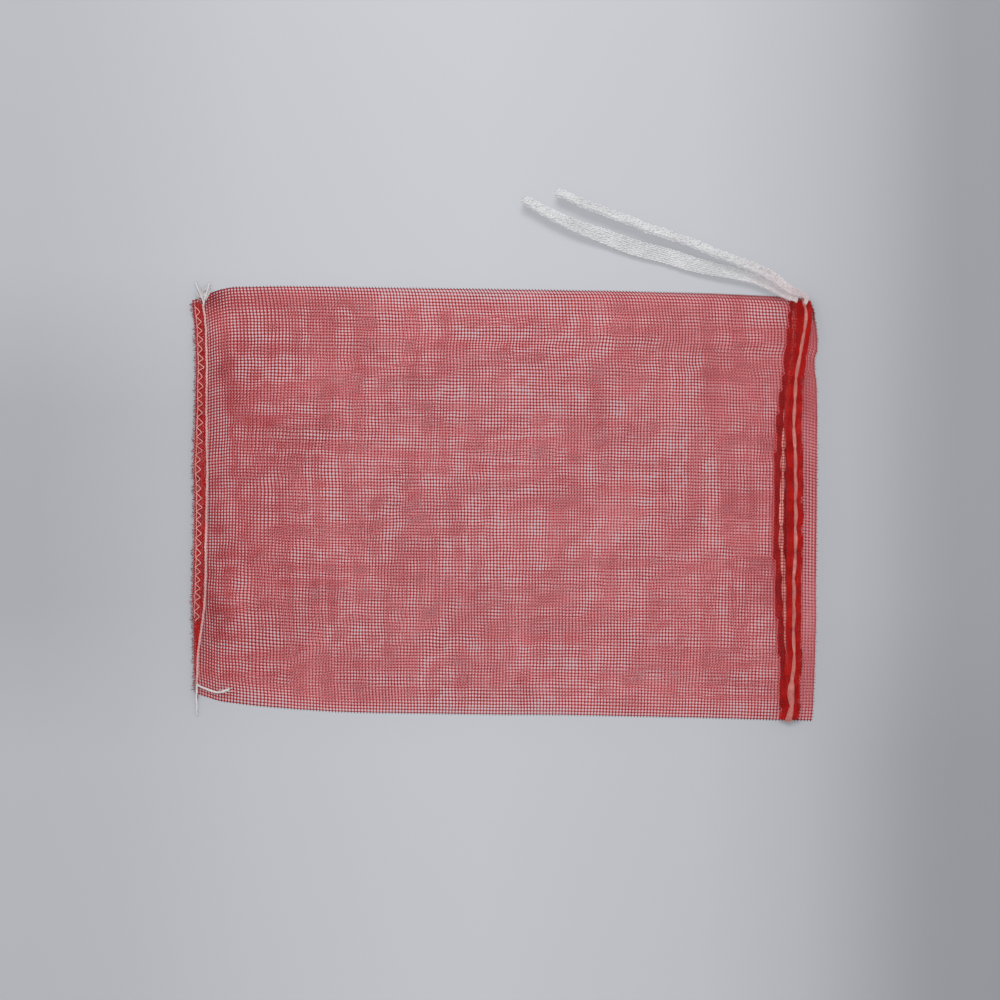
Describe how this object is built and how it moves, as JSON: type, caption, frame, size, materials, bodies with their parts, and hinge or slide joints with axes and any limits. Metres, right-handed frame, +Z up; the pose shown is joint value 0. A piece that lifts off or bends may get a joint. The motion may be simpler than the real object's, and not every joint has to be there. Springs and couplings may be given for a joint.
{
  "type": "mesh produce bag",
  "caption": "Reusable drawstring net bag for fruit and vegetables, lying flat, with a sewn closed end, a casing round the mouth and a knitted tape that draws it shut",
  "frame": {"origin": "under the middle of the bag, on the surface it lies on, measured without the drawstring's loose tails", "axes": "+X from the sewn closed end to the open mouth, +Y towards the side where the drawstring comes out, +Z up through the thickness of the flat bag"},
  "size_m": [0.3012, 0.2553, 0.0077],
  "materials": {
    "red_net": "knitted filament net, semi-matt red, square cells of about 1.5 mm",
    "casing_net": "the same red net in several layers, so darker and fuller in colour",
    "sewing_thread": "soft spun sewing thread, pinkish white",
    "white_tape": "soft knitted white tape with a fine rib"
  },
  "bodies": {
    "bag": {"net_back": "red_net", "net_front": "red_net", "net_front_hem_slope": "red_net", "side_fold_exit": "red_net", "side_fold_far": "red_net", "bottom_hem": "red_net", "chain_stitch_thread": "sewing_thread", "overlock_thread": "sewing_thread", "casing_front": "casing_net", "casing_back": "casing_net", "casing_far_fold": "casing_net", "frill_front": "red_net", "frill_back": "red_net", "frill_exit_fold": "red_net"},
    "drawstring": {"drawstring_front_run": "white_tape", "drawstring_back_run": "white_tape", "drawstring_far_bend": "white_tape", "drawstring_upper_tail": "white_tape", "drawstring_lower_tail": "white_tape"}
  },
  "joints": [
    {"name": "drawstring_pull", "type": "slide", "parent": "bag", "child": "drawstring", "axis": [0, 1, 0], "range_m": [0, 0.11]}
  ]
}
